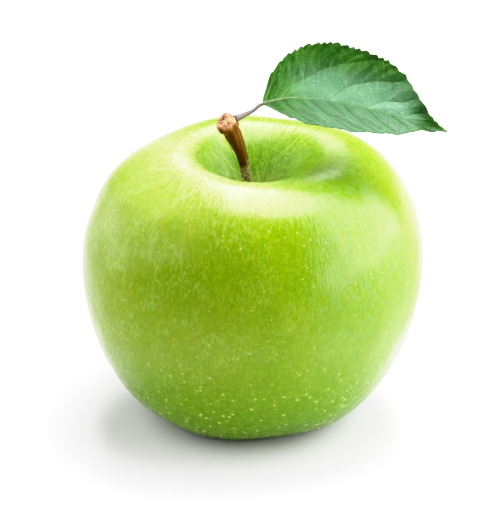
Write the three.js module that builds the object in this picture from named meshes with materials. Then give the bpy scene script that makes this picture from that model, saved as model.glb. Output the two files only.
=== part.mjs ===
// A green apple standing on its base, with its stem and one leaf, in millimetres, +Z up.
// Every piece is skinned over a row of sections. The pieces are laid out about the fruit's own
// axis and the whole is then moved so that the origin is under the middle of its box.
import * as THREE from 'three';
import { LoftGeometry } from 'three/addons/geometries/LoftGeometry.js';
import { mergeVertices } from 'three/addons/utils/BufferGeometryUtils.js';

const FULL_TURN = 2 * Math.PI;
const GAP = 0.3; // clearance between pieces that touch on the real apple

// Fruit: outer size, and the guide points [radius, height] that its half section is drawn towards,
// from the floor of the stem cavity, over the crown, down the side and into the calyx basin.
const FRUIT_RADIUS = 40;
const FRUIT_HEIGHT = 64;
const HALF_SECTION_GUIDE = [
  [0, 51], [3.6, 52], [8.5, 58], [14, 63.4], [22, 65.2], [33.3, 59.6], [38.7, 48],
  [40.7, 36], [38.4, 20.8], [30.6, 5.4], [20.5, -0.4], [9.5, -1], [8.5, 5.5], [4.5, 8.4], [0, 8.6],
];
const LOBES = 5;
const LOBE_TURN = 0.6; // direction of the first lobe, radians from +X
const LOBE_SWELL = 0.008; // share by which a lobe widens the crown and the foot
const LOBE_RISE = 0.5; // how far a lobe stands above the crown and below the foot
const LEAN = 1.5; // sideways slant of the shoulders against the foot
const FRUIT_SIDES = 60;
const FRUIT_ROWS = 38;

// Stem: its centre line from the cavity floor up to the swollen end, and its radius along it.
const STEM_FOOT_HEIGHT = 51.6 + GAP;
const STEM_LINE = [
  [0.2, 0.1, STEM_FOOT_HEIGHT], [-0.9, 0.2, 55.6], [-1.7, 0.1, 60], [-2.6, -0.4, 64.2],
  [-3.9, -1.5, 68], [-5, -2.9, 71.2], [-6.1, -4.4, 73.6],
];
const STEM_RADII = [1.45, 1.3, 1.18, 1.3, 1.7, 2.05, 2.35];
const STEM_LUMPS = 3; // around the swollen end
const STEM_LUMP_SHARE = 0.07; // share of the radius that a lump stands out
const STEM_SIDES = 14;
const STEM_STEPS = 18;

// Leaf: its stalk and midrib on one centre line, and how wide each half of the blade is.
const LEAF_STALK = [[-3.3, -3.3, 74.6], [-1.9, -2.3, 74.4], [0.2, -1.1, 75.1]];
const LEAF_MIDRIB = [
  [2.3, 0, 76.3], [7.6, 0.8, 77.3], [13.1, 0.5, 77.4], [18.4, -0.8, 77.3], [23.6, -2.6, 76.9],
  [28.8, -4.3, 76.2], [34, -6, 75.3], [39, -7.6, 74.1], [44.3, -9, 73.1],
];
const BLADE_LENGTH = 44;
const BACK_HALF_WIDTHS = [[0, 3.5], [1, 7], [4, 10.3], [9, 13.2], [16, 14.4], [23, 13.8],
  [29, 13], [33, 10.9], [36, 6.9], [39, 3], [44, 0.35]];
const FRONT_HALF_WIDTHS = [[0, 0.5], [2.4, 5.9], [5.5, 10.3], [9.5, 13.4], [14.5, 14.7], [20, 13.8],
  [26, 12.2], [31, 9.5], [36, 4.6], [40, 2.4], [44, 0.35]];
const BACK_HALF_RISE = THREE.MathUtils.degToRad(48); // the back half stands up from the midrib
const FRONT_HALF_FALL = THREE.MathUtils.degToRad(6); // the front half hangs a little below level
const STALK_RADIUS = 0.45;
const STALK_STEPS = 6;
const BLADE_THICKNESS = 0.5;
const TEETH = 22;
const TOOTH_DEPTH = 0.05; // share of the half width
const TOOTH_LEAN = 0.7; // how far forward along its pitch a tooth has its point
const LEAF_SIDES = 16;

// Calyx: five dried sepals around a tuft of dried stamens, all inside the basin underneath.
// The tuft's outline is [radius, height] from its root down.
const SEPALS = 5;
const SEPAL_LINE = [[1.7, 0, 7.7], [3.3, 0, 7.1], [4.7, 0, 6], [5.3, 0, 4.5]];
const SEPAL_HALF_WIDTHS = [0.75, 1.5, 1.2, 0.3];
const SEPAL_THICKNESS = 0.45;
const SEPAL_SIDES = 8;
const SEPAL_STEPS = 8;
const TUFT_OUTLINE = [[0.9, 8], [1, 7.4], [0.75, 6.6], [0.95, 5.8], [0.7, 5], [0.3, 4.6]];
const TUFT_SIDES = 12;

const skin = new THREE.MeshStandardMaterial({ color: 0x8fb824, roughness: 0.35, metalness: 0 });
const bark = new THREE.MeshStandardMaterial({ color: 0x7a4a20, roughness: 0.8, metalness: 0 });
const blade = new THREE.MeshStandardMaterial({ color: 0x5f9c4c, roughness: 0.55, metalness: 0 });
const dried = new THREE.MeshStandardMaterial({ color: 0x6b5233, roughness: 0.9, metalness: 0 });

const group = new THREE.Group();

// Skins a row of sections that starts and ends in a single point, so that the skin is closed.
// The triangles that collapse at those two points are left out.
function skinOver(sections) {
  const loft = new THREE.BufferGeometry().copy(new LoftGeometry(sections));
  loft.deleteAttribute('normal');
  loft.deleteAttribute('uv');
  const geometry = mergeVertices(loft);
  const corners = Array.from(geometry.index.array);
  const whole = [];
  for (let first = 0; first < corners.length; first += 3) {
    const triangle = corners.slice(first, first + 3);
    if (new Set(triangle).size === 3) whole.push(...triangle);
  }
  geometry.setIndex(whole);
  geometry.computeVertexNormals();
  return geometry;
}

function addPiece(name, sections, material) {
  const mesh = new THREE.Mesh(skinOver(sections), material);
  mesh.name = name;
  group.add(mesh);
  return mesh;
}

function curveThrough(points) {
  return new THREE.CatmullRomCurve3(points.map((point) => new THREE.Vector3(...point)));
}

// The value at a place in a list of evenly spaced values, eased between its neighbours.
function evenlySpaced(values, share) {
  const place = share * (values.length - 1);
  const index = Math.min(Math.floor(place), values.length - 2);
  const ease = THREE.MathUtils.smoothstep(place - index, 0, 1);
  return THREE.MathUtils.lerp(values[index], values[index + 1], ease);
}

// The value at one place on the straight stretches between [place, value] points.
function readOff(points, place) {
  const next = Math.max(1, points.findIndex(([x]) => x >= place));
  const [[x0, y0], [x1, y1]] = [points[next - 1], points[next]];
  return THREE.MathUtils.mapLinear(place, x0, x1, y0, y1);
}

// The middle of a section, repeated so that it closes the row of sections in one point.
function endPoint(section) {
  const middle = new THREE.Vector3();
  section.forEach((point) => middle.addScaledVector(point, 1 / section.length));
  return section.map(() => middle.clone());
}

function closedRow(sections) {
  return [endPoint(sections[0]), ...sections, endPoint(sections.at(-1))];
}

// One ring of points: each turn angle gives a cosine and a sine to place a point with.
function ring(sides, place) {
  return Array.from({ length: sides }, (_, index) => {
    const turn = ((index + 0.5) / sides) * FULL_TURN;
    return place(Math.cos(turn), Math.sin(turn), turn);
  });
}

// The fruit's half section: a uniform cubic B-spline, mirrored at the axis so that it ends flat.
function halfSection(along) {
  const guide = HALF_SECTION_GUIDE;
  const spans = guide.length - 1;
  const mirror = ([radius, height]) => [-radius, height];
  const points = [mirror(guide[1]), ...guide, mirror(guide[spans - 1])];
  const span = Math.min(Math.floor(along * spans), spans - 1);
  const t = along * spans - span;
  const weights = [(1 - t) ** 3, 3 * t ** 3 - 6 * t ** 2 + 4, -3 * t ** 3 + 3 * t ** 2 + 3 * t + 1, t ** 3];
  return [0, 1].map((axis) => weights.reduce((sum, w, k) => sum + (w * points[span + k][axis]) / 6, 0));
}

function fruitPoint(cosine, sine, turn, along) {
  const [radius, height] = halfSection(along);
  const level = (2 * height) / FRUIT_HEIGHT - 1; // 1 at the crown, 0 at the waist, -1 at the foot
  const outward = radius / FRUIT_RADIUS;
  const lobe = level ** 2 * Math.cos(LOBES * (turn - LOBE_TURN));
  const wide = radius * (1 + LOBE_SWELL * lobe);
  const lean = 0.5 * LEAN * level * outward;
  const tall = height + Math.sign(level) * LOBE_RISE * lobe * outward;
  return new THREE.Vector3(wide * cosine + lean, wide * sine, Math.max(tall, 0));
}

function addFruit() {
  const sections = [];
  for (let row = 0; row <= FRUIT_ROWS; row += 1) {
    const along = row / FRUIT_ROWS;
    sections.push(ring(FRUIT_SIDES, (c, s, turn) => fruitPoint(c, -s, -turn, along)));
  }
  addPiece('fruit', sections, skin);
}

// A rod along a curve: at each step, shape gives the two half sizes of its section.
function rodSections(curve, steps, sides, shape) {
  const frames = curve.computeFrenetFrames(steps);
  return Array.from({ length: steps + 1 }, (_, step) => {
    const share = step / steps;
    const centre = curve.getPointAt(share);
    return ring(sides, (cosine, sine, turn) => {
      const [across, deep] = shape(share, turn);
      return centre.clone()
        .addScaledVector(frames.normals[step], across * cosine)
        .addScaledVector(frames.binormals[step], deep * sine);
    });
  });
}

function addStem() {
  const lumps = (share, turn) => 1 + STEM_LUMP_SHARE * share ** 6 * Math.cos(STEM_LUMPS * turn);
  const shape = (share, turn) => {
    const radius = evenlySpaced(STEM_RADII, share) * lumps(share, turn);
    return [radius, radius];
  };
  const sections = rodSections(curveThrough(STEM_LINE), STEM_STEPS, STEM_SIDES, shape);
  addPiece('stem', closedRow(sections), bark);
}

// One section of the leaf: a flat oval bent at the midrib into a back and a front half.
function leafSection(centre, backWidth, frontWidth, halfThickness) {
  const back = new THREE.Vector3(0, Math.cos(BACK_HALF_RISE), Math.sin(BACK_HALF_RISE));
  const front = new THREE.Vector3(0, -Math.cos(FRONT_HALF_FALL), -Math.sin(FRONT_HALF_FALL));
  const along = new THREE.Vector3(1, 0, 0);
  return ring(LEAF_SIDES, (cosine, sine) => {
    const side = cosine > 0 ? back : front;
    const width = cosine > 0 ? backWidth : frontWidth;
    const up = new THREE.Vector3().crossVectors(along, side).multiplyScalar(Math.sign(cosine));
    return centre.clone()
      .addScaledVector(side, width * Math.abs(cosine))
      .addScaledVector(up, halfThickness * sine);
  });
}

function addLeaf() {
  const sections = [];
  const stalk = curveThrough([...LEAF_STALK, LEAF_MIDRIB[0]]);
  for (let step = 0; step < STALK_STEPS; step += 1) {
    const centre = stalk.getPointAt(step / STALK_STEPS);
    sections.push(leafSection(centre, STALK_RADIUS, STALK_RADIUS, STALK_RADIUS));
  }
  const midrib = curveThrough(LEAF_MIDRIB);
  const addBladeSection = (share, widthShare) => {
    const place = share * BLADE_LENGTH;
    const backWidth = widthShare * readOff(BACK_HALF_WIDTHS, place);
    const frontWidth = widthShare * readOff(FRONT_HALF_WIDTHS, place);
    sections.push(leafSection(midrib.getPointAt(share), backWidth, frontWidth, BLADE_THICKNESS / 2));
  };
  for (let tooth = 0; tooth < TEETH; tooth += 1) {
    addBladeSection(tooth / TEETH, 1 - TOOTH_DEPTH);
    addBladeSection((tooth + TOOTH_LEAN) / TEETH, 1);
  }
  addBladeSection(1, 1);
  addPiece('leaf', closedRow(sections), blade);
}

function addCalyx() {
  const curve = curveThrough(SEPAL_LINE);
  const shape = (share) => [evenlySpaced(SEPAL_HALF_WIDTHS, share), SEPAL_THICKNESS / 2];
  const sections = closedRow(rodSections(curve, SEPAL_STEPS, SEPAL_SIDES, shape));
  for (let index = 0; index < SEPALS; index += 1) {
    const sepal = addPiece(`sepal_${index + 1}`, sections, dried);
    sepal.rotation.z = LOBE_TURN + (index / SEPALS) * FULL_TURN;
  }
  const tuft = TUFT_OUTLINE.map(([radius, height]) => ring(TUFT_SIDES, (cosine, sine) => (
    new THREE.Vector3(radius * cosine, -radius * sine, height)
  )));
  addPiece('stamen_tuft', closedRow(tuft), dried);
}

addFruit();
addStem();
addLeaf();
addCalyx();

// Stand the whole on the ground with the origin under the middle of its box.
const box = new THREE.Box3().setFromObject(group, true);
const middle = box.getCenter(new THREE.Vector3());
group.position.set(-middle.x, -middle.y, -box.min.z);

export default group;
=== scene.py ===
import math

import bpy
import numpy as np
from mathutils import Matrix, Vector, noise


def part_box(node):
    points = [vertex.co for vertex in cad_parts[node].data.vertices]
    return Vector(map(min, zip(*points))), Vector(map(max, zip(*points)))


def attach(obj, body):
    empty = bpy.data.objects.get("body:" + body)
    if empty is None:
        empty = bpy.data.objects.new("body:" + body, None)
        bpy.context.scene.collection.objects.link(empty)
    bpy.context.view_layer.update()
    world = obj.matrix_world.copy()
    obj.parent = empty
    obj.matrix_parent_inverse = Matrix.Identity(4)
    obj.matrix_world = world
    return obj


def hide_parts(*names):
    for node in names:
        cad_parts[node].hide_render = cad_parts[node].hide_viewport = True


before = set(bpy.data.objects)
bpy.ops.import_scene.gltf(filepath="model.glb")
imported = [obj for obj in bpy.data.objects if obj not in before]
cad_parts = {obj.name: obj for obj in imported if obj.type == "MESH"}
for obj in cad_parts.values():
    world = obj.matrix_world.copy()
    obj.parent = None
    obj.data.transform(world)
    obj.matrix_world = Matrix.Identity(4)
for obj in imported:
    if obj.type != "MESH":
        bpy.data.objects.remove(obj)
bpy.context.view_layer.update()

# A green apple on plain white paper, with its stem and one leaf. Shapes are worked out in
# millimetres about the fruit's core line, and CORE moves them into the frame. In a finish, sizes
# on a place and depths of relief are in metres, sizes on the flat blade are in millimetres, and
# sizes on rays or grain are in their own units. The studio is laid out in metres.
MM = 0.001
TURN = 2 * math.pi

# Fruit: its size, and the half section [radius, height] from the cavity floor over the crown
# to the basin. The guide points pull the section's curve towards them.
FRUIT_RADIUS = 40
FRUIT_HEIGHT = 64
HALF_SECTION_GUIDE = [
    (0, 51), (3.6, 52), (8.5, 58), (14, 63.4), (22, 65.2), (33.3, 59.6), (38.7, 48),
    (40.7, 36), (38.4, 20.8), (30.6, 5.4), (20.5, -0.4), (9.5, -1), (8.5, 5.5), (4.5, 8.4), (0, 8.6),
]
# Lobes: how many, where the first one points, and how far they swell and rise. LEAN is how far
# the crown stands to one side of the base.
LOBES = 5
LOBE_TURN = 0.6
LOBE_SWELL = 0.008
LOBE_RISE = 0.5
LEAN = 1.5
# Soft lumps in the skin: [height, size].
BROAD_LUMPS = (0.3, 17)
SMALL_LUMPS = (0.05, 4.5)
# Folds that run into the cavity and into the basin.
STEM_FOLDS = 13
STEM_FOLD_DEPTH = 0.16
CALYX_FOLD_DEPTH = 0.35
# The cavity's mouth is drawn in by a share of its radius on one side.
DRAWN_IN_SHARE = 0.14
DRAWN_IN_SIDE = 3.4
# The side that ripens yellow in the sun, and the side where a pale reflection is painted into the skin's
# colour as a sheen.
SUNNY_SIDE = 3.6
PAINTED_SHEEN_SIDE = -0.82
# Flames in the skin: a larger FLAMES_ROUND makes them narrower, a larger FLAME_LENGTH longer.
FLAMES_ROUND = 30
FLAME_LENGTH = 4.2
# How finely the skin is divided, round the fruit and along its section.
FRUIT_SIDES = 320
FRUIT_ROWS = 224

# Stem: its centre line, and its radius at even steps along it.
STEM_LINE = [
    (0.2, 0.1, 51.2), (-0.9, 0.2, 55.6), (-1.7, 0.1, 60), (-2.6, -0.4, 64.2),
    (-3.9, -1.5, 68), (-5, -2.9, 71.2), (-6.1, -4.4, 73.6),
]
STEM_RADII = (1.4, 1.2, 1.14, 1.26, 1.56, 1.95, 2.3)

# Leaf stalk, and the midrib that carries it on under the blade, with their radius at even steps.
STALK_LINE = [(-4.1, -3.7, 74.1), (-3.2, -3.1, 74.2), (-1.7, -2.1, 74.5), (0.2, -1.1, 75.1)]
MIDRIB_LINE = [
    (2.3, 0, 76.3), (7.6, 0.8, 77.3), (13.1, 0.5, 77.4), (18.4, -0.8, 77.3), (23.6, -2.6, 76.9),
    (28.8, -4.3, 76.2), (34, -6, 75.3), (39, -7.6, 74.1), (44.3, -9, 73.1),
]
STALK_RADII = (0.95, 0.5, 0.42, 0.44, 0.42, 0.38, 0.34, 0.3, 0.26, 0.2, 0.14, 0.06)

# Blade: [distance along the midrib, width] of its back half and its front half.
BLADE_LENGTH = 44
HALF_THICKNESS = 0.13
BACK_WIDTHS = [(0, 3.2), (0.9, 7), (4, 10.5), (9, 13.6), (16, 14.9), (23, 14.4), (29, 13.3),
               (33, 11), (36, 6.9), (39, 3), (44, 0.05)]
FRONT_WIDTHS = [(0, 0.6), (2.4, 5.9), (5.5, 10.3), (9.5, 13.4), (14.5, 14.7), (20, 13.8),
                (26, 12.2), (31, 9.5), (36, 4.6), (40, 2.4), (44, 0.05)]
# Teeth: how far apart and how deep on each half, and the share of a tooth that rises from the
# base's side before it drops on the tip's side.
BACK_PITCH, BACK_TEETH = 1.75, 0.62
FRONT_PITCH, FRONT_TEETH = 1.95, 0.42
TOOTH_BACK = 0.82
# How steeply the blade climbs towards the back, in degrees, from -1 at its front edge to 1 at
# its back edge.
BLADE_SLOPES = [(-1, 2), (-0.5, 5), (-0.1, 8), (0.1, 26), (0.35, 42), (0.6, 60), (1, 64)]
# Side veins on the two halves: [distance along the midrib, distance out from it].
BACK_VEINS = [
    [(0.7, 0.3), (1.6, 3), (2.6, 5.8), (4.2, 9)],
    [(4.1, 0.2), (6.2, 3.1), (9, 4.9), (12.5, 7.1), (15.5, 8.8), (19.4, 10.3), (25, 12.1), (28.5, 13)],
    [(16.4, 0.2), (18.6, 3.2), (21, 5.3), (24.9, 7.1), (28.3, 8.1), (31.5, 8.6), (33.6, 9.4)],
    [(25.3, 0.2), (27.3, 2), (29.7, 3.5), (33.6, 4.4), (36, 5.6)],
    [(33.8, 0.2), (35.8, 1.9), (38.2, 2.9)],
]
BACK_BRANCHES = [
    [(7.1, 3.6), (8, 7.7), (9.9, 12.4)], [(9.6, 5.3), (10.2, 9.2), (12, 12.8)],
    [(12.2, 7.1), (12.9, 10.2), (14.8, 13.2)], [(15.8, 8.9), (17, 11.4), (19.4, 13.6)],
    [(19.6, 10.4), (21.3, 12), (23.4, 13.4)], [(19.9, 4.5), (20.4, 7), (21.6, 9.8)],
    [(23.4, 6.5), (24.9, 9), (26.6, 11.6)], [(27, 7.8), (28.9, 10), (31, 11.8)],
    [(28.9, 3), (30.4, 5.2), (31.6, 7.6)], [(2, 4), (3.4, 6), (6.6, 9.6)],
]
FRONT_VEINS = [
    [(1, 0.2), (2.5, 3), (4.4, 6.6), (6, 9.4)],
    [(4.1, 0.2), (5.7, 3.4), (7.5, 6.6), (10.8, 11.8)],
    [(10.5, 0.2), (13, 4.4), (16, 8.2), (20.4, 12.6)],
    [(18.1, 0.2), (20, 3.4), (22.4, 6.7), (26.4, 10.8)],
    [(24, 0.2), (26.2, 3.2), (28.4, 5.8), (31, 8.2)],
    [(30, 0.2), (32, 2.2), (34.6, 4.6)],
    [(36, 0.2), (38, 1.4), (40, 2.2)],
]
FRONT_BRANCHES = [
    [(7, 5.6), (10, 8.4), (14.4, 13.4)], [(14.4, 6.3), (17.6, 8.6), (22.6, 12)],
    [(7.4, 0.4), (9.4, 3.4), (12, 6.6)], [(14.4, 0.4), (16.2, 3.2), (18.6, 6)],
    [(21.4, 5.3), (24.4, 7.4), (28, 9.8)],
]

# Calyx: the line of one sepal and its half width at even steps, and the number of stamens.
SEPAL_LINE = [(1.5, 0, 8.3), (3.1, 0, 7.3), (4.6, 0, 6.2), (5.4, 0, 4.9), (5, 0, 4.3)]
SEPAL_HALF_WIDTHS = (0.8, 1.35, 1.5, 1.2, 0.7, 0.15)
STAMENS = 15

# Camera: where it stands and what it looks at, about the fruit's core line.
CAMERA_HEIGHT_ANGLE = math.radians(25)
CAMERA_DISTANCE = 700
CAMERA_TARGET = Vector((0, 0, 32))
CAMERA_LENS = 209.75
CAMERA_SENSOR = 36
# How far above and to the left of that the camera is aimed.
AIM_UP = 5.56
AIM_LEFT = 0.57
# The film: how much light it takes for white, and how bright each share of that light looks.
FILM_WHITE = 1.12
FILM_TONES = [(0.017, 0.002), (0.042, 0.009), (0.067, 0.025), (0.117, 0.077), (0.167, 0.142),
              (0.25, 0.255), (0.417, 0.495), (0.625, 0.76), (0.833, 0.94)]


# ---------------------------------------------------------------- shapes

def smooth(low, high, value):
    """0 at low and 1 at high, eased in between. With low above high it falls instead."""
    share = np.clip((np.asarray(value, float) - low) / (high - low), 0, 1)
    return share * share * (3 - 2 * share)


def read_off(pairs, place):
    """What the pairs [place, value] give at each place, straight between them."""
    places, values = zip(*pairs)
    return np.interp(place, places, values)


def even_steps(values, share):
    """What values set at even steps give at each share of the way."""
    return np.interp(share, np.linspace(0, 1, len(values)), values)


def ripple(points, size, octaves=3):
    """Soft noise between about -1 and 1 at each point, with lumps of about the given size."""
    flat = np.asarray(points, float).reshape(-1, 3) / size
    heights = [noise.fractal(Vector(p), 0.8, 2.1, octaves) for p in flat]
    return np.array(heights).reshape(np.shape(points)[:-1])


def line_through(points, count):
    """Places at even distances along a smooth line through the points."""
    p = np.array(points, float)
    p = np.vstack([2 * p[0] - p[1], p, 2 * p[-1] - p[-2]])
    spans = len(p) - 3
    u = np.linspace(0, spans, 40 * spans + 1)
    k = np.minimum(u.astype(int), spans - 1)
    t = (u - k)[:, None]
    a, b, c, d = p[k], p[k + 1], p[k + 2], p[k + 3]
    fine = b + 0.5 * t * (c - a + t * (2 * a - 5 * b + 4 * c - d + t * (3 * (b - c) + d - a)))
    length = np.r_[0, np.cumsum(np.linalg.norm(np.diff(fine, axis=0), axis=1))]
    even = np.linspace(0, length[-1], count)
    return np.stack([np.interp(even, length, fine[:, i]) for i in range(fine.shape[1])], 1)


def around(sides):
    """Even angles once round."""
    return np.arange(sides) / sides * TURN


def rod(line, radii, sides, first_side=(0, 1, 0)):
    """Rings about a line. Each place on it has one radius, or one for each side."""
    tangents = np.gradient(line, axis=0)
    tangents /= np.linalg.norm(tangents, axis=1, keepdims=True)
    side = np.array(first_side, float) - tangents * (tangents @ np.array(first_side, float))[:, None]
    side /= np.linalg.norm(side, axis=1, keepdims=True)
    other = np.cross(tangents, side)
    angle = around(sides)
    radii = np.broadcast_to(np.asarray(radii).reshape(len(line), -1), (len(line), sides))
    outward = side[:, None] * np.cos(angle)[:, None] + other[:, None] * np.sin(angle)[:, None]
    return line[:, None] + outward * radii[..., None]


def half_section(along):
    """[radius, height] at shares of the way along a cubic B-spline drawn by the guide points. The
    points past both ends mirror their neighbours, so that the section meets the core line level."""
    guide = np.array(HALF_SECTION_GUIDE, float)
    points = np.vstack([guide[1] * (-1, 1), guide, guide[-2] * (-1, 1)])
    spans = len(guide) - 1
    span = np.minimum((along * spans).astype(int), spans - 1)
    t = (along * spans - span)[:, None]
    return ((1 - t) ** 3 * points[span] + (3 * t ** 3 - 6 * t ** 2 + 4) * points[span + 1]
            + (-3 * t ** 3 + 3 * t ** 2 + 3 * t + 1) * points[span + 2] + t ** 3 * points[span + 3]) / 6


def fruit_rings(rows, sides):
    """The fruit's plain surface about its core line, with each ring's radius and height."""
    along = (np.arange(rows) + 0.5) / rows
    radius, height = half_section(along).T[:, :, None]
    angle = around(sides)[None]
    level = 2 * height / FRUIT_HEIGHT - 1
    outward = radius / FRUIT_RADIUS
    lobe = level ** 2 * np.cos(LOBES * (angle - LOBE_TURN))
    wide = radius * (1 + LOBE_SWELL * lobe)
    x = wide * np.cos(angle) + 0.5 * LEAN * level * outward
    y = wide * np.sin(angle)
    z = np.maximum(height + np.sign(level) * LOBE_RISE * lobe * outward, 0)
    return np.stack([x, y, z], -1), radius, height, angle


def core_place():
    """Where the core line meets the ground in the frame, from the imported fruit's box."""
    low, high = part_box("fruit")
    plain = fruit_rings(FRUIT_ROWS, FRUIT_SIDES)[0].reshape(-1, 3)
    middle = (plain.min(0) + plain.max(0)) / 2
    return Vector(((low.x + high.x) / 2 - middle[0] * MM, (low.y + high.y) / 2 - middle[1] * MM, low.z))


CORE = core_place()


def make_piece(name, skins, values, finish, nodes):
    """One mesh of closed skins. Each skin is a row of rings that ends in a point at both ends;
    values are the numbers per point that the finish reads."""
    points, faces, start = [], [], 0
    for rings in skins:
        rows, sides = rings.shape[:2]
        grid = start + np.arange(rows * sides).reshape(rows, sides)
        turned = np.roll(grid, -1, axis=1)
        first, last = start + rows * sides, start + rows * sides + 1
        quads = np.stack([grid[:-1], turned[:-1], turned[1:], grid[1:]], -1).reshape(-1, 4).tolist()
        quads += [(first, int(b), int(a)) for a, b in zip(grid[0], turned[0])]
        quads += [(last, int(a), int(b)) for a, b in zip(grid[-1], turned[-1])]
        body = np.vstack([rings.reshape(-1, 3), rings[0].mean(0), rings[-1].mean(0)])
        faces += quads
        points.append(body)
        start += len(body)
    mesh = bpy.data.meshes.new(name)
    mesh.from_pydata((np.vstack(points) * MM + np.array(CORE)).tolist(), [], faces)
    for key, arrays in values.items():
        width = 3 if np.ndim(arrays[0]) == 3 else 1
        whole = []
        for array in arrays:
            whole += [array.reshape(-1, width), array[0].reshape(-1, width).mean(0, keepdims=True),
                      array[-1].reshape(-1, width).mean(0, keepdims=True)]
        kind, field = ("FLOAT_VECTOR", "vector") if width == 3 else ("FLOAT", "value")
        attribute = mesh.attributes.new(key, kind, "POINT")
        attribute.data.foreach_set(field, np.vstack(whole).astype(np.float32).ravel())
    mesh.validate()
    if signed_volume(mesh) < 0:
        mesh.flip_normals()
    mesh.shade_smooth()
    mesh.materials.append(finish)
    piece = bpy.data.objects.new(name, mesh)
    bpy.context.scene.collection.objects.link(piece)
    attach(piece, "root")
    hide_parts(*nodes)
    return piece


def signed_volume(mesh):
    """The mesh's volume, which is below zero where its faces look inward."""
    mesh.calc_loop_triangles()
    corners = np.zeros(len(mesh.loop_triangles) * 3, int)
    mesh.loop_triangles.foreach_get("vertices", corners)
    places = np.zeros(len(mesh.vertices) * 3)
    mesh.vertices.foreach_get("co", places)
    a, b, c = places.reshape(-1, 3)[corners.reshape(-1, 3)].transpose(1, 0, 2)
    return np.einsum("ij,ij->", a, np.cross(b, c)) / 6


# ---------------------------------------------------------------- finishes

class Wire:
    """A number on its way through a finish. Sums written on it become Math nodes."""

    def __init__(self, finish, socket):
        self.finish = finish
        self.socket = socket

    def maths(self, operation, *values):
        """A Math node on numbers or wires."""
        inputs = dict(enumerate(values))
        return self.finish.node("ShaderNodeMath", {"operation": operation}, inputs)

    def __add__(self, other):
        return self.maths("ADD", self, other)

    def __sub__(self, other):
        return self.maths("SUBTRACT", self, other)

    def __rsub__(self, other):
        return self.maths("SUBTRACT", other, self)

    def __mul__(self, other):
        return self.maths("MULTIPLY", self, other)

    __radd__ = __add__
    __rmul__ = __mul__

    def clamped(self):
        return self.maths("MINIMUM", self.maths("MAXIMUM", self, 0.0), 1.0)

    def between(self, low, high):
        """0 below low, 1 above high, eased in between. With low above high it falls instead."""
        inputs = {"Value": self, "From Min": low, "From Max": high}
        return self.finish.node("ShaderNodeMapRange", {"interpolation_type": "SMOOTHSTEP"}, inputs)


class Finish:
    """One material: a Principled surface and the nodes that feed it."""

    def __init__(self, name, **plain):
        self.material = bpy.data.materials.new(name)
        self.material.use_nodes = True
        self.tree = self.material.node_tree
        self.tree.nodes.clear()
        self.surface = self.tree.nodes.new("ShaderNodeBsdfPrincipled")
        output = self.tree.nodes.new("ShaderNodeOutputMaterial")
        self.tree.links.new(self.surface.outputs[0], output.inputs["Surface"])
        for key, value in plain.items():
            self.feed(key.replace("_", " "), value)

    @classmethod
    def on(cls, tree):
        """A bare set of nodes, for a surface that isn't an object's."""
        bare = cls.__new__(cls)
        bare.tree = tree
        tree.nodes.clear()
        return bare

    def plug(self, node, key, value):
        """Links a wire to a socket, or sets the socket to a plain value."""
        if isinstance(value, Wire):
            self.tree.links.new(value.socket, node.inputs[key])
        else:
            node.inputs[key].default_value = value

    def feed(self, key, value):
        """Sets or links one of the surface's own sockets."""
        self.plug(self.surface, key, value)

    def node(self, kind, settings, inputs, out=0):
        """Any node: its settings first, then its sockets. Gives a wire from one output."""
        made = self.tree.nodes.new(kind)
        for key, value in settings.items():
            setattr(made, key, value)
        for key, value in inputs.items():
            self.plug(made, key, value)
        return Wire(self, made.outputs[out])

    def place(self):
        """Where a point lies, in metres."""
        return self.node("ShaderNodeTexCoord", {}, {}, "Object")

    def named(self, name, out="Fac"):
        """Numbers that the mesh carries under a name."""
        return self.node("ShaderNodeAttribute", {"attribute_name": name}, {}, out)

    def clouds(self, place, size, detail=3.0, rough=0.55):
        """Noise from 0 to 1, with blots of about the given size."""
        inputs = {"Vector": place, "Scale": 1 / size, "Detail": detail, "Roughness": rough}
        return self.node("ShaderNodeTexNoise", {}, inputs)

    def cells(self, place, size, feature="F1"):
        """Distance to the middle or the edge of scattered cells, as a share of their size."""
        inputs = {"Vector": place, "Scale": 1 / size}
        return self.node("ShaderNodeTexVoronoi", {"feature": feature}, inputs, "Distance")

    def mix(self, mask, below, above):
        """Lays one colour over another where the mask is 1."""
        below, above = [c if isinstance(c, Wire) else (*c, 1.0) for c in (below, above)]
        return self.node("ShaderNodeMix", {"data_type": "RGBA"}, {0: mask, 6: below, 7: above}, 2)

    def moved(self, place, offset, amount):
        """A place pushed about by a colour or vector, for edges that wander."""
        pushed = self.node("ShaderNodeVectorMath", {"operation": "SCALE"}, {0: offset, "Scale": amount})
        return self.node("ShaderNodeVectorMath", {"operation": "ADD"}, {0: place, 1: pushed})

    def stretched(self, place, scale):
        """A place with each of its directions scaled by itself."""
        return self.node("ShaderNodeVectorMath", {"operation": "MULTIPLY"}, {0: place, 1: scale})

    def bump(self, height, depth, under=None):
        """Relief of the given depth in metres for a height from 0 to 1."""
        inputs = {"Height": height, "Distance": depth, "Strength": 1.0}
        if under is not None:
            inputs["Normal"] = under
        return self.node("ShaderNodeBump", {}, inputs)


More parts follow.
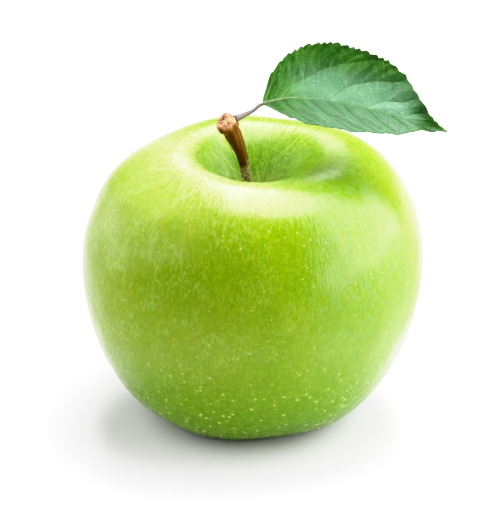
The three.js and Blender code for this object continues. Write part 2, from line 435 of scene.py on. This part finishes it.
def skin_finish():
    """Waxy green skin: yellow-green ground, flames round the crown, waxy strokes, pale lenticels, and
    painted shade in the cavity, a painted highlight on the crest and a painted sheen on one cheek.
    """
    skin = Finish(
        "waxy_green_skin", IOR=1.4, Specular_Tint=(1.0, 1.0, 0.92, 1.0),
        Subsurface_Weight=0.06, Subsurface_Scale=0.002, Subsurface_Radius=(0.8, 1.0, 0.1),
    )
    place = skin.place()
    rays = skin.named("rays", "Vector")
    crown = skin.named("crown")
    cavity = skin.named("cavity")
    foot = skin.named("foot")
    sunny = skin.named("sunny")
    painted_sheen = skin.named("painted_sheen")
    yellow_green = (0.158, 0.255, 0.001)
    leaf_green = (0.105, 0.235, 0.001)
    deep_green = (0.035, 0.145, 0.001)
    cavity_green_and_shade = (0.052, 0.16, 0.001)
    ripe_yellow = (0.18, 0.245, 0.001)
    pale = (0.3, 0.42, 0.05)
    milky = (0.3, 0.42, 0.14)
    painted_highlight_pale = (0.36, 0.45, 0.24)
    painted_sheen_green = (0.15, 0.29, 0.075)
    buff = (0.5, 0.4, 0.2)
    russet_brown = (0.45, 0.38, 0.2)
    pore = (0.64, 0.74, 0.3)
    broad = skin.clouds(place, 0.02)
    blots = skin.clouds(rays, 2.2, 4.0, 0.6)
    grain = skin.clouds(place, 0.0011, 4.0, 0.75)
    flames = skin.clouds(rays, 1.0, 4.0, 0.6)
    fine_flames = skin.clouds(rays, 0.42, 3.0, 0.6)
    wax = skin.clouds(skin.stretched(rays, (1.0, 1.0, 1.5)), 0.5, 3.0, 0.65)

    # Ground colour: yellower on the sunny side, greener round the crown and at the foot.
    ground = skin.mix(broad.between(0.45, 0.75) * 0.4 + foot * 0.55, yellow_green, leaf_green)
    ground = skin.mix(sunny * blots.between(0.3, 0.55) * 0.7, ground, ripe_yellow)
    ground = skin.mix(blots.between(0.48, 0.6) * 0.3, ground, leaf_green)
    ground = skin.mix(crown * (1 - sunny) * 0.7, ground, leaf_green)
    ground = skin.mix(foot * 0.35, ground, deep_green)

    # Cavity: deeper green, partly the fruit's own colour and partly painted shade, with pale and dark
    # flames running into it and russet at its bottom.
    ground = skin.mix(cavity.between(0.15, 0.75) * 0.55, ground, cavity_green_and_shade)
    ground = skin.mix((cavity * flames.between(0.56, 0.44) * 0.85).clamped(), ground, cavity_green_and_shade)
    streak = flames.between(0.5, 0.62) * 0.5 + fine_flames.between(0.5, 0.62) * 0.35
    ground = skin.mix((streak * (crown * 0.6 + cavity * 0.1)).clamped(), ground, pale)
    # Painted shadow: the upper wall of the cavity on the sunny side painted darker.
    wall_shadow = cavity.between(0.0, 0.3) * sunny * (flames.between(0.6, 0.42) * 0.5 + 0.6)
    ground = skin.mix(wall_shadow.clamped(), ground, cavity_green_and_shade)
    ground = skin.mix(sunny * crown * fine_flames.between(0.5, 0.7) * 0.4, ground, buff)
    russet = (cavity.between(0.7, 1.0) * fine_flames.between(0.5, 0.62)).clamped()
    ground = skin.mix(russet * 0.6, ground, russet_brown)

    # Freckles, and a bloom of wax in strokes, thickest on the sunny side; over them a painted highlight
    # on the sunny crest and a painted sheen on one cheek.
    patches = skin.clouds(place, 0.006).between(0.42, 0.58)
    freckles = (0.24 - skin.cells(place, 0.0008)).between(-0.05, 0.1) * (patches * 0.4 + 0.15)
    ground = skin.mix((freckles + grain.between(0.46, 0.62) * 0.25).clamped(), ground, pale)
    misted = skin.clouds(place, 0.009, 3.0, 0.6).between(0.42, 0.6) * (sunny * 0.6 + 0.2)
    strokes = wax.between(0.44, 0.6) * misted * (1 - foot * 0.7) * 0.5
    ground = skin.mix(strokes.clamped(), ground, milky)
    # Painted highlight: a pale band painted along the crest of the cavity's rim on the sunny side.
    crest_highlight = crown * (1 - cavity.between(0.02, 0.25)) * sunny
    crest_highlight = crest_highlight * (fine_flames.between(0.4, 0.6) * 0.4 + 0.15)
    ground = skin.mix(crest_highlight.clamped(), ground, painted_highlight_pale)
    # Painted sheen: a pale reflection painted into the colour of one cheek, broken up by the wax strokes.
    ground = skin.mix((painted_sheen * (wax.between(0.4, 0.62) * 0.5 + 0.15)).clamped(), ground, painted_sheen_green)

    # Lenticels: pale pores in a faint halo, larger towards the foot.
    size = 0.075 + foot * 0.085 + skin.clouds(place, 0.005, 1.0) * 0.06
    dots = skin.cells(place, 0.002)
    lenticels = (size - dots).between(-0.035, 0.06)
    halo = (size * 2.0 - dots).between(0.0, 0.2)
    ground = skin.mix(halo * (foot * 0.2 + 0.05), ground, pale)
    ground = skin.mix((lenticels * (foot * 0.15 + 0.4)).clamped(), ground, pore)
    skin.feed("Base Color", ground)
    rough = 0.12 + wax.between(0.42, 0.58) * 0.12 + lenticels * 0.1 + grain * 0.08
    skin.feed("Roughness", (rough + crown * 0.07 + cavity * 0.08).clamped())
    dented = skin.bump(grain, 0.00002)
    dented = skin.bump(fine_flames, 0.00005, dented)
    dented = skin.bump(flames, 0.00004, dented)
    dented = skin.bump(blots, 0.0001, dented)
    skin.feed("Normal", skin.bump(lenticels, 0.00002, dented))
    return skin.material


def bark_finish():
    """Woody stem: brown and ridged above, pale and speckled at the foot, orange where it broke."""
    bark = Finish("stem_bark", Specular_IOR_Level=0.35)
    grain_place = bark.named("grain", "Vector")
    place = bark.place()
    height = bark.named("height")
    broken = bark.named("broken")
    fibre = bark.clouds(grain_place, 1.0, 4.0, 0.65)
    speck = bark.clouds(place, 0.00045, 3.0, 0.7)
    patch = bark.clouds(place, 0.0016, 3.0, 0.6)
    olive = (0.11, 0.075, 0.006)
    chestnut = (0.24, 0.09, 0.014)
    umber = (0.05, 0.02, 0.01)
    bone = (0.6, 0.5, 0.36)
    plum = (0.16, 0.07, 0.05)
    orange_flesh = (0.5, 0.27, 0.14)
    red_brown = (0.2, 0.075, 0.04)
    blackened = (0.07, 0.03, 0.045)
    wood = bark.mix((fibre.between(0.3, 0.7) * 0.75 + height * 0.25).clamped(), olive, chestnut)
    wood = bark.mix(patch.between(0.6, 0.75) * 0.4, wood, umber)
    pale = bark.mix(speck.between(0.42, 0.6), bone, plum)
    foot = (height + (patch - 0.5) * 0.3).between(0.48, 0.34)
    wood = bark.mix(foot * 0.9, wood, pale)
    flesh = bark.mix(patch.between(0.45, 0.65), orange_flesh, red_brown)
    flesh = bark.mix(speck.between(0.55, 0.7), flesh, blackened)
    bark.feed("Base Color", bark.mix(broken, wood, flesh))
    bark.feed("Roughness", 0.5 + speck * 0.3)
    relief = bark.bump(fibre, 0.0002)
    bark.feed("Normal", bark.bump(speck, 0.00012, relief))
    return bark.material


def blade_finish():
    """Leaf blade: veined and netted, with a painted bluish sheen along the middle and painted shade on
    its front half, tip and rim, paler and matt below.
    """
    blade = Finish("leaf_blade", Specular_IOR_Level=0.27, Subsurface_Weight=0.05, Subsurface_Scale=0.001)
    place = blade.place()
    flat = blade.named("flat_place", "Vector")
    vein = blade.named("vein")
    hollow = blade.named("hollow")
    under = blade.named("under")
    rim = blade.named("rim")
    leaf_sheen = blade.named("leaf_sheen")
    front = blade.named("front")
    tip = blade.named("tip")
    bottle_green = (0.03, 0.105, 0.004)
    grass_green = (0.047, 0.15, 0.006)
    painted_sheen_blue = (0.17, 0.32, 0.23)
    between_veins = (0.06, 0.19, 0.05)
    rung_green = (0.09, 0.24, 0.08)
    net_green = (0.1, 0.26, 0.1)
    vein_green = (0.2, 0.36, 0.15)
    painted_shade_green = (0.015, 0.06, 0.008)
    under_green = (0.2, 0.3, 0.14)
    under_pale = (0.27, 0.38, 0.2)
    under_vein = (0.42, 0.5, 0.3)
    tone = blade.clouds(place, 0.006, 4.0)

    # Nets of fine veins, drawn on the flat blade in millimetres and set wandering.
    wander = blade.node("ShaderNodeTexNoise", {}, {"Vector": flat, "Scale": 0.9, "Detail": 2.0}, "Color")
    net_place = blade.moved(flat, wander, 0.7)
    net = blade.cells(net_place, 1.15, "DISTANCE_TO_EDGE").between(0.1, 0.0)
    fine_net = blade.cells(net_place, 0.42, "DISTANCE_TO_EDGE").between(0.14, 0.0)
    rungs = blade.clouds(blade.stretched(net_place, (1.0, 0.28, 1.0)), 0.75)

    green = blade.mix(tone.between(0.42, 0.58), bottle_green, grass_green)
    # Painted sheen: a pale bluish reflection painted along the middle of the blade.
    green = blade.mix(leaf_sheen * (tone * 0.6 + 0.4), green, painted_sheen_blue)
    green = blade.mix(hollow * 0.25, green, between_veins)
    green = blade.mix(rungs.between(0.47, 0.6) * 0.25, green, rung_green)
    green = blade.mix((net * 0.25 + fine_net * 0.12).clamped(), green, net_green)
    green = blade.mix(vein * 0.4, green, vein_green)
    # Painted shade: the front half, the tip and the rim painted darker.
    green = blade.mix((front * 0.6 + tip * 0.35 + rim * 0.3).clamped(), green, painted_shade_green)
    back = blade.mix(tone, under_green, under_pale)
    back = blade.mix((vein * 0.8 + net * 0.15).clamped(), back, under_vein)
    blade.feed("Base Color", blade.mix(under, green, back))
    blade.feed("Roughness", 0.33 + fine_net * 0.08 + under * 0.3 + tone * 0.08)
    veins = blade.bump(vein * -1.0, 0.0002)
    netted = blade.bump(net * -1.0 + rungs * 0.4, 0.00008, veins)
    blade.feed("Normal", blade.bump(fine_net * -1.0, 0.00003, netted))
    return blade.material


def stalk_finish():
    """Leaf stalk: greyish and downy at the foot, green towards the blade, with a dark groove."""
    stalk = Finish("leaf_stalk", Specular_IOR_Level=0.3)
    height = stalk.named("height")
    groove = stalk.named("groove")
    down = stalk.clouds(stalk.place(), 0.0003)
    grey_brown = (0.17, 0.14, 0.13)
    olive_green = (0.16, 0.2, 0.08)
    dark_groove = (0.04, 0.03, 0.03)
    silver_down = (0.4, 0.38, 0.36)
    tint = stalk.mix(height.between(0.05, 0.3), grey_brown, olive_green)
    tint = stalk.mix(groove * 0.7, tint, dark_groove)
    tint = stalk.mix(down.between(0.5, 0.7) * 0.35, tint, silver_down)
    stalk.feed("Base Color", tint)
    stalk.feed("Roughness", 0.55 + down * 0.2)
    stalk.feed("Normal", stalk.bump(down, 0.00005))
    return stalk.material


def dried_finish():
    """Dried calyx: dull brown, wrinkled lengthwise, with a grey bloom of hairs."""
    dried = Finish("dried_calyx", Specular_IOR_Level=0.2)
    fibre = dried.clouds(dried.named("grain", "Vector"), 1.0, 4.0, 0.65)
    hairs = dried.clouds(dried.place(), 0.00022, 2.0, 0.7)
    dark_brown = (0.09, 0.045, 0.018)
    straw_brown = (0.26, 0.16, 0.07)
    grey_hair = (0.45, 0.4, 0.3)
    tint = dried.mix(fibre.between(0.35, 0.65), dark_brown, straw_brown)
    tint = dried.mix(hairs.between(0.52, 0.7) * 0.5, tint, grey_hair)
    dried.feed("Base Color", tint)
    dried.feed("Roughness", 0.75 + hairs * 0.2)
    dried.feed("Normal", dried.bump(fibre + hairs * 0.5, 0.00015))
    return dried.material


# ---------------------------------------------------------------- pieces

def make_fruit():
    """The fruit's skin, with soft lumps, folds in its cavity and basin, and a flat resting ring."""
    rings, radius, height, angle = fruit_rings(FRUIT_ROWS, FRUIT_SIDES)
    blank = np.zeros((FRUIT_ROWS, FRUIT_SIDES))
    upper = (height > FRUIT_HEIGHT / 2).astype(float)
    tilt = 0.4 * (2 * upper - 1)
    outward = np.stack([np.cos(angle) + blank, np.sin(angle) + blank, tilt + blank], -1)

    # Lumps and folds, which leave the middle of the cavity and the basin calmer.
    inside = smooth(17, 5, radius)
    near_stem = upper * smooth(1.6, 3, radius) * smooth(12, 5, radius)
    near_calyx = (1 - upper) * smooth(2, 4, radius) * smooth(13, 8, radius)
    stem_folds = STEM_FOLD_DEPTH * np.cos(STEM_FOLDS * angle + 1.5 * np.sin(2 * angle))
    calyx_folds = CALYX_FOLD_DEPTH * np.cos(LOBES * (angle - LOBE_TURN))
    folds = near_stem * stem_folds + near_calyx * calyx_folds
    lumps = sum(tall * ripple(rings, wide, 2) for tall, wide in (BROAD_LUMPS, SMALL_LUMPS))
    rings = rings + outward * ((1 - 0.6 * inside) * lumps + folds)[..., None]

    # The mouth of the cavity, drawn in on one side.
    mouth = upper * smooth(34, 22, radius) * smooth(6, 15, radius)
    narrowing = DRAWN_IN_SHARE * mouth * smooth(0.4, 1, np.cos(angle - DRAWN_IN_SIDE))
    rings[..., :2] *= 1 - narrowing[..., None]
    rings[..., 2] = np.maximum(rings[..., 2], 0)

    # What the skin's finish reads: where flames run, and how much of each zone a point is in.
    steps = np.linalg.norm(np.diff(np.c_[radius.ravel(), height.ravel()], axis=0), axis=1)
    length = np.r_[0, np.cumsum(steps)][:, None]
    girth = [FLAMES_ROUND * np.cos(angle) + blank, FLAMES_ROUND * np.sin(angle) + blank]
    rays = np.stack([*girth, length / FLAME_LENGTH + blank], -1)
    crown = upper * smooth(34, 22, radius) + blank
    cavity = upper * smooth(20, 4, radius) + blank
    foot = smooth(38, 8, height) + blank
    sunny = smooth(-0.1, 0.9, np.cos(angle - SUNNY_SIDE)) * smooth(5, 30, height)
    # The cheek with the painted sheen: a pale reflection painted into the skin's colour.
    cheek = smooth(0.87, 0.97, np.cos(angle - PAINTED_SHEEN_SIDE))
    painted_sheen = cheek * smooth(15, 38, height) * smooth(20, 30, radius)
    values = {"rays": [rays], "crown": [crown], "cavity": [cavity], "foot": [foot],
              "sunny": [sunny], "painted_sheen": [painted_sheen]}
    make_piece("fruit_skin", [rings], values, skin_finish(), ["fruit"])


def make_stem():
    """The woody stem: ridged, swollen at its upper end, with a rough cap where it broke."""
    rows, sides, cap_rows = 150, 56, 14
    line = line_through(STEM_LINE, rows)
    share = np.linspace(0, 1, rows)[:, None]
    angle = around(sides)[None]
    ridges = 0.05 * np.cos(5 * angle + 3 * share) + 0.03 * np.cos(9 * angle - 5 * share)
    knob = share ** 7 * (0.09 * np.cos(3 * angle + 0.6) + 0.05 * np.cos(5 * angle))
    collar = 0.12 * np.exp(-((share - 0.93) / 0.035) ** 2) - 0.1 * np.exp(-((share - 0.86) / 0.03) ** 2)
    radii = even_steps(STEM_RADII, share) * (1 + ridges * (0.4 + share) + knob + collar)
    rings = rod(line, radii, sides)
    rings = rings + 0.09 * ripple(rings, 1.1)[..., None] * (rings - line[:, None]) / radii[..., None]
    axis = line[-1] - line[-2]
    axis /= np.linalg.norm(axis)
    scale = np.cos(np.linspace(0, math.pi / 2, cap_rows + 1)[1:] * 0.97)[:, None, None]
    dome = 0.55 * np.sqrt(1 - scale ** 2)
    cap = line[-1] + (rings[-1] - line[-1])[None] * scale + axis * dome
    rough = 0.38 * ripple(cap, 0.9) * (1 - scale[..., 0] ** 6)
    cap = cap + rough[..., None] * axis
    whole = np.concatenate([rings, cap])
    height = np.concatenate([share + 0 * angle, np.ones((cap_rows, sides))])
    torn = smooth(0.965, 1, share + 0.012 * np.cos(4 * angle))
    broken = np.concatenate([torn, np.ones((cap_rows, sides))])
    grain = np.stack([2.2 * np.cos(angle) + 0 * height, 2.2 * np.sin(angle) + 0 * height, height * 7], -1)
    values = {"height": [height], "broken": [broken], "grain": [grain]}
    make_piece("stem_bark", [whole], values, bark_finish(), ["stem"])


def distance_to(lines, s, q):
    """Distance in millimetres from each place on the flat blade to the nearest of the lines,
    and how far along that line, from 0 to 1."""
    steps = 48
    nearest = np.full(s.shape, float(BLADE_LENGTH))
    share = np.zeros(s.shape)
    for line in lines:
        for step, (x, y) in enumerate(line_through(line, steps)):
            gap = np.hypot(s - x, q - y)
            closer = gap < nearest
            nearest[closer] = gap[closer]
            share[closer] = step / (steps - 1)
    return nearest, share


def half_blade(side, place, across):
    """Flat places, relief and veins of one half. side is 1 at the back and -1 in front."""
    widths, veins, branches = ((BACK_WIDTHS, BACK_VEINS, BACK_BRANCHES) if side > 0
                               else (FRONT_WIDTHS, FRONT_VEINS, FRONT_BRANCHES))
    pitch, deepest = (BACK_PITCH, BACK_TEETH) if side > 0 else (FRONT_PITCH, FRONT_TEETH)
    phase = (place / pitch + 0.2 * np.sin(place * 0.9)) % 1
    rising = np.sin(phase / TOOTH_BACK * math.pi / 2) ** 0.8
    falling = np.cos((phase - TOOTH_BACK) / (1 - TOOTH_BACK) * math.pi / 2)
    tooth = np.where(phase < TOOTH_BACK, rising, falling)
    small = 0.1 * np.sin(phase * 2 * TURN)
    width = read_off(widths, place)
    depth = np.minimum(deepest, 0.25 * width)
    reach = width + depth * (tooth + small - 0.75)
    q = across * reach
    s = place + 1.1 * across ** 4 * smooth(0, 4, width) * smooth(BLADE_LENGTH, 38, place)
    main, along = distance_to(veins, s, q)
    branch, branch_along = distance_to(branches, s, q)
    rib = np.exp(-(main / (0.34 - 0.16 * along)) ** 2)
    twig = 0.6 * np.exp(-(branch / (0.2 - 0.06 * branch_along)) ** 2)
    midrib = np.exp(-(q / (0.5 - 0.3 * place / BLADE_LENGTH)) ** 2)
    from_vein = np.minimum(np.minimum(main, branch * 1.6), q * 1.3)
    bulge = 0.5 * (1 - np.exp(-(from_vein / 1.7) ** 2)) - 0.1 * np.exp(-(main / 0.5) ** 2)
    wave = (0.4 if side > 0 else 0.15) * across ** 3 * np.sin(place * 0.55)
    vein = np.maximum(np.maximum(rib, twig), midrib)
    hollow = 1 - np.exp(-(from_vein / 2) ** 2)
    rim = smooth(0.93, 1, across) + 0 * place
    return {"s": s, "q": side * q, "rise": bulge + wave, "vein": vein, "hollow": hollow, "rim": rim}


def make_blade():
    """The blade: both halves joined at the midrib, bent up towards the back, and given thickness."""
    rows, half = 430, 52
    place = np.linspace(0.02, BLADE_LENGTH, rows)[:, None]
    across = np.linspace(0, 1, half)[None] ** 0.9
    back = half_blade(1, place, across)
    front = half_blade(-1, place, across)
    sheet = {key: np.concatenate([front[key][:, :0:-1], back[key]], axis=1) for key in back}
    share = np.concatenate([-across[:, :0:-1], across], axis=1) + 0 * place
    slope = np.radians(read_off(BLADE_SLOPES, share))
    step = np.diff(sheet["q"], axis=1)
    mean = (slope[:, 1:] + slope[:, :-1]) / 2
    y = np.concatenate([np.zeros((rows, 1)), np.cumsum(step * np.cos(mean), 1)], 1)
    z = np.concatenate([np.zeros((rows, 1)), np.cumsum(step * np.sin(mean), 1)], 1)
    y, z = y - y[:, half - 1:half], z - z[:, half - 1:half]
    midrib = line_through(MIDRIB_LINE, rows)
    spot = np.clip(sheet["s"] / BLADE_LENGTH, 0, 1.03) * (rows - 1)
    near = np.minimum(spot.astype(int), rows - 2)
    centre = midrib[near] + (midrib[near + 1] - midrib[near]) * (spot - near)[..., None]
    up = np.stack([0 * slope, -np.sin(slope), np.cos(slope)], -1)
    middle = centre + np.stack([0 * y, y, z], -1) + up * sheet["rise"][..., None]
    thick = HALF_THICKNESS * (1 - 0.45 * sheet["rim"]) * smooth(44.3, 42, place)
    thick = np.maximum(thick, 0.02)[..., None]
    rings = np.concatenate([middle + up * thick, (middle - up * thick)[:, ::-1]], axis=1)

    def both(zone):
        """The same numbers on the upper face and, turned back, on the lower one."""
        return np.concatenate([zone, zone[:, ::-1]], axis=1)

    s, q = sheet["s"], sheet["q"]
    flat = np.stack([s, q, 0 * share], -1)
    # Where the painted sheen lies, along the middle of the blade.
    leaf_sheen = smooth(12, 5, q) * smooth(3, 15, s) * smooth(41, 34, s)
    # Where painted shade darkens the blade: its front half and its tip.
    front = smooth(0.6, -0.6, q)
    tip = smooth(34, 40, s)
    under = np.concatenate([0 * share, 1 + 0 * share], axis=1)
    zones = {"vein": sheet["vein"], "hollow": sheet["hollow"], "rim": sheet["rim"],
             "flat_place": flat, "leaf_sheen": leaf_sheen, "front": front, "tip": tip}
    values = {key: [both(zone)] for key, zone in zones.items()}
    values["under"] = [under]
    make_piece("leaf_blade", [rings], values, blade_finish(), ["leaf"])


def make_stalk():
    """The leaf's stalk, running on under the blade as its midrib."""
    rows, sides = 260, 20
    line = line_through(STALK_LINE + MIDRIB_LINE, rows)
    line[:, 2] -= 0.3 * smooth(0.1, 0.25, np.linspace(0, 1, rows))
    share = np.linspace(0, 1, rows)[:, None]
    angle = around(sides)[None]
    base = even_steps(STALK_RADII, share)
    groove = np.exp(-((np.cos(angle - 1.2) - 1) / 0.12) ** 2) * smooth(0.25, 0.12, share)
    rings = rod(line, base * (1 - 0.3 * groove), sides)
    values = {"height": [share + 0 * angle], "groove": [groove]}
    make_piece("leaf_stalk", [rings], values, stalk_finish(), ["leaf"])


def make_sepal(index, finish):
    """One dried sepal, curled outward at its tip, with a keel and torn edges."""
    rows, sides = 60, 28
    share = np.linspace(0, 1, rows)[:, None]
    angle = around(sides)[None]
    line = line_through(SEPAL_LINE, rows)
    turn = LOBE_TURN + index * TURN / LOBES + 0.12 * math.sin(3 * index)
    half_width = even_steps(SEPAL_HALF_WIDTHS, share)
    half_width = half_width * (1 + 0.1 * np.sin(19 * share + index))
    tangent = np.gradient(line, axis=0)
    tangent /= np.linalg.norm(tangent, axis=1, keepdims=True)
    outward = np.cross([0, 1, 0], tangent)
    across = half_width * np.cos(angle)
    curl = 0.35 * (across / half_width) ** 2 * (0.4 + share)
    deep = 0.16 * np.sin(angle) + curl + 0.1 * np.sin(9 * share + 2 * across + index)
    rings = (line[:, None] + across[..., None] * np.array([0, 1, 0]) + deep[..., None] * outward[:, None])
    cosine, sine = math.cos(turn), math.sin(turn)
    rings = rings @ np.array([[cosine, sine, 0], [-sine, cosine, 0], [0, 0, 1]])
    grain = np.stack([2.5 * across, 0 * across + index, 1.2 * share + 0 * angle], -1)
    node = f"sepal_{index + 1}"
    make_piece(f"{node}_dried", [rings], {"grain": [grain]}, finish, [node])


def make_stamens(finish):
    """The dried stamens: a ring of fine filaments, each with a small anther, leaning together."""
    skins, grains = [], []
    rows, sides = 26, 10
    share = np.linspace(0, 1, rows)[:, None]
    for index in range(STAMENS):
        turn = index / STAMENS * TURN
        foot = 0.62 + 0.16 * math.sin(5 * index)
        lean = 0.55 + 0.3 * math.sin(7 * index)
        tall = 5.0 + 0.5 * math.sin(3 * index)
        swirl = 0.5 * math.sin(11 * index)
        line = line_through([
            (foot * math.cos(turn), foot * math.sin(turn), 8.4),
            (1.05 * math.cos(turn + swirl / 2), 1.05 * math.sin(turn + swirl / 2), 6.9),
            (lean * math.cos(turn + swirl), lean * math.sin(turn + swirl), tall),
        ], rows)
        radii = 0.09 + 0.14 * np.exp(-((share - 0.93) / 0.06) ** 2)
        skins.append(rod(line, radii, sides, (1, 0, 0)))
        grains.append(np.stack([0 * share + index, 0 * share, 5 * share], -1) + np.zeros((1, sides, 1)))
    make_piece("stamen_filaments", skins, {"grain": grains}, finish, ["stamen_tuft"])


# ---------------------------------------------------------------- studio

def make_floor():
    """White paper, large enough to fill the view. Near the apple it is paler and lilac-tinted, a painted
    pool of light that also cancels the green light the apple throws into its shadow. It is less pale away
    from the apple, which keeps its mirror image out of the skin."""
    half = 2.0
    mesh = bpy.data.meshes.new("floor")
    corners = [(-half, -half, 0), (half, -half, 0), (half, half, 0), (-half, half, 0)]
    mesh.from_pydata(corners, [], [(0, 1, 2, 3)])
    paper = Finish("white_paper", Specular_IOR_Level=0.0)
    painted_pool_paper = (0.76, 0.73, 0.78)
    far_paper = (0.49, 0.49, 0.49)
    spot = paper.stretched(paper.moved(paper.place(), (0.0, 1.0, 0.0), 0.03), (1.0, 1.0, 0.0))
    reach = paper.node("ShaderNodeVectorMath", {"operation": "LENGTH"}, {0: spot}, "Value")
    paper.feed("Base Color", paper.mix(reach.between(0.055, 0.1), painted_pool_paper, far_paper))
    paper.feed("Roughness", 1.0)
    mesh.materials.append(paper.material)
    floor = bpy.data.objects.new("floor", mesh)
    bpy.context.scene.collection.objects.link(floor)


def make_softbox(name, place, facing, width, height, radiance, turn):
    """A rectangular softbox: every part of its face shines with the same radiance."""
    lamp = bpy.data.lights.new(name, "AREA")
    lamp.shape = "RECTANGLE"
    lamp.size = width
    lamp.size_y = height
    lamp.energy = radiance * math.pi * width * height
    box = bpy.data.objects.new(name, lamp)
    box.location = place
    box.rotation_euler = Vector(facing).to_track_quat("-Z", "Y").to_euler()
    box.rotation_euler.rotate_axis("Z", turn)
    bpy.context.scene.collection.objects.link(box)


def make_room(front, behind, horizon):
    """Soft light from all round, given by its strength in front, behind and along the horizon."""
    world = bpy.data.worlds.new("white_room")
    world.use_nodes = True
    bpy.context.scene.world = world
    room = Finish.on(world.node_tree)
    direction = room.node("ShaderNodeTexCoord", {}, {}, "Generated")
    depth = room.node("ShaderNodeSeparateXYZ", {}, {0: direction}, "Y")
    height = room.node("ShaderNodeSeparateXYZ", {}, {0: direction}, "Z")
    level = height.between(0.1, 0.03) * horizon
    level = level.maths("MAXIMUM", level, depth.between(0.75, 0.95) * behind)
    level = level.maths("MAXIMUM", level, front)
    light = room.node("ShaderNodeBackground", {}, {"Color": (1, 1, 1, 1), "Strength": level})
    output = room.tree.nodes.new("ShaderNodeOutputWorld")
    room.tree.links.new(light.socket, output.inputs["Surface"])


def make_camera():
    """A long lens that looks down on the apple from in front."""
    lens = bpy.data.cameras.new("camera")
    lens.sensor_width = CAMERA_SENSOR
    lens.lens = CAMERA_LENS
    camera = bpy.data.objects.new("camera", lens)
    bpy.context.scene.collection.objects.link(camera)
    back = Vector((0, -math.cos(CAMERA_HEIGHT_ANGLE), math.sin(CAMERA_HEIGHT_ANGLE)))
    up = Vector((0, math.sin(CAMERA_HEIGHT_ANGLE), math.cos(CAMERA_HEIGHT_ANGLE)))
    camera.location = (CAMERA_TARGET + back * CAMERA_DISTANCE) * MM + CORE
    aim = (CAMERA_TARGET + up * AIM_UP - Vector((AIM_LEFT, 0, 0))) * MM + CORE
    camera.rotation_euler = (aim - camera.location).to_track_quat("-Z", "Y").to_euler()
    bpy.context.scene.camera = camera


def set_film():
    """The film's response: deeper shadows than the scene's, and highlights that fade into white."""
    look = bpy.context.scene.view_settings
    look.view_transform = "Standard"
    look.exposure = -math.log2(FILM_WHITE)
    look.use_curve_mapping = True
    for share, seen in FILM_TONES:
        look.curve_mapping.curves[3].points.new(share, seen)
    look.curve_mapping.update()


make_camera()
set_film()
make_fruit()
make_stem()
make_blade()
make_stalk()
calyx = dried_finish()
for number in range(LOBES):
    make_sepal(number, calyx)
make_stamens(calyx)
make_floor()
make_room(front=0.19, behind=0.36, horizon=1.02)
make_softbox("right_softbox", place=(0.6, 0.03, 0.62), facing=(-1, 0, 0),
             width=0.94, height=1.4, radiance=5.7, turn=-0.28)
make_softbox("left_softbox", place=(-0.6, 0.05, 0.67), facing=(1, 0, 0),
             width=1.45, height=1.2, radiance=2.25, turn=0.45)
make_softbox("overhead_panel", place=(0.05, 0.57, 0.8), facing=(0, 0, -1),
             width=0.48, height=1.2, radiance=12.5, turn=0.1)
